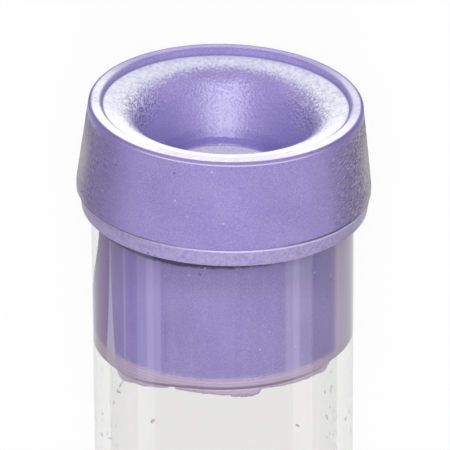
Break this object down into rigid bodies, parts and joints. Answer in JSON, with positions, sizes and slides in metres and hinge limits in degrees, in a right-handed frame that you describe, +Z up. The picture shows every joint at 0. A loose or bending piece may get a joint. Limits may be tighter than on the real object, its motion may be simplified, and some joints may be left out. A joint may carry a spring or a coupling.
{
  "type": "blood collection tube",
  "caption": "Clear round-bottomed blood collection tube lying on its side, closed by a pull-out lavender rubber stopper with a dished, rimmed head.",
  "frame": {"origin": "middle of the underside of the bounding box of the tube as it lies, on the surface that it lies on", "axes": "+Z up; the stopper's head points to -Y and the round bottom to +Y; the tube's own axis leans up by 0.7 degrees towards the stopper, whose head is wider than the tube"},
  "size_m": [0.0146, 0.081, 0.0147],
  "materials": {
    "clear_plastic": "clear, glossy",
    "lavender_rubber": "satin, fine moulded grain"
  },
  "bodies": {
    "tube": {"tube": "clear_plastic"},
    "stopper": {"stopper": "lavender_rubber"}
  },
  "joints": [
    {"name": "stopper_pull", "type": "slide", "parent": "tube", "child": "stopper", "axis": [0, -0.9999, 0.0122], "range_m": [0, 0.018]}
  ]
}
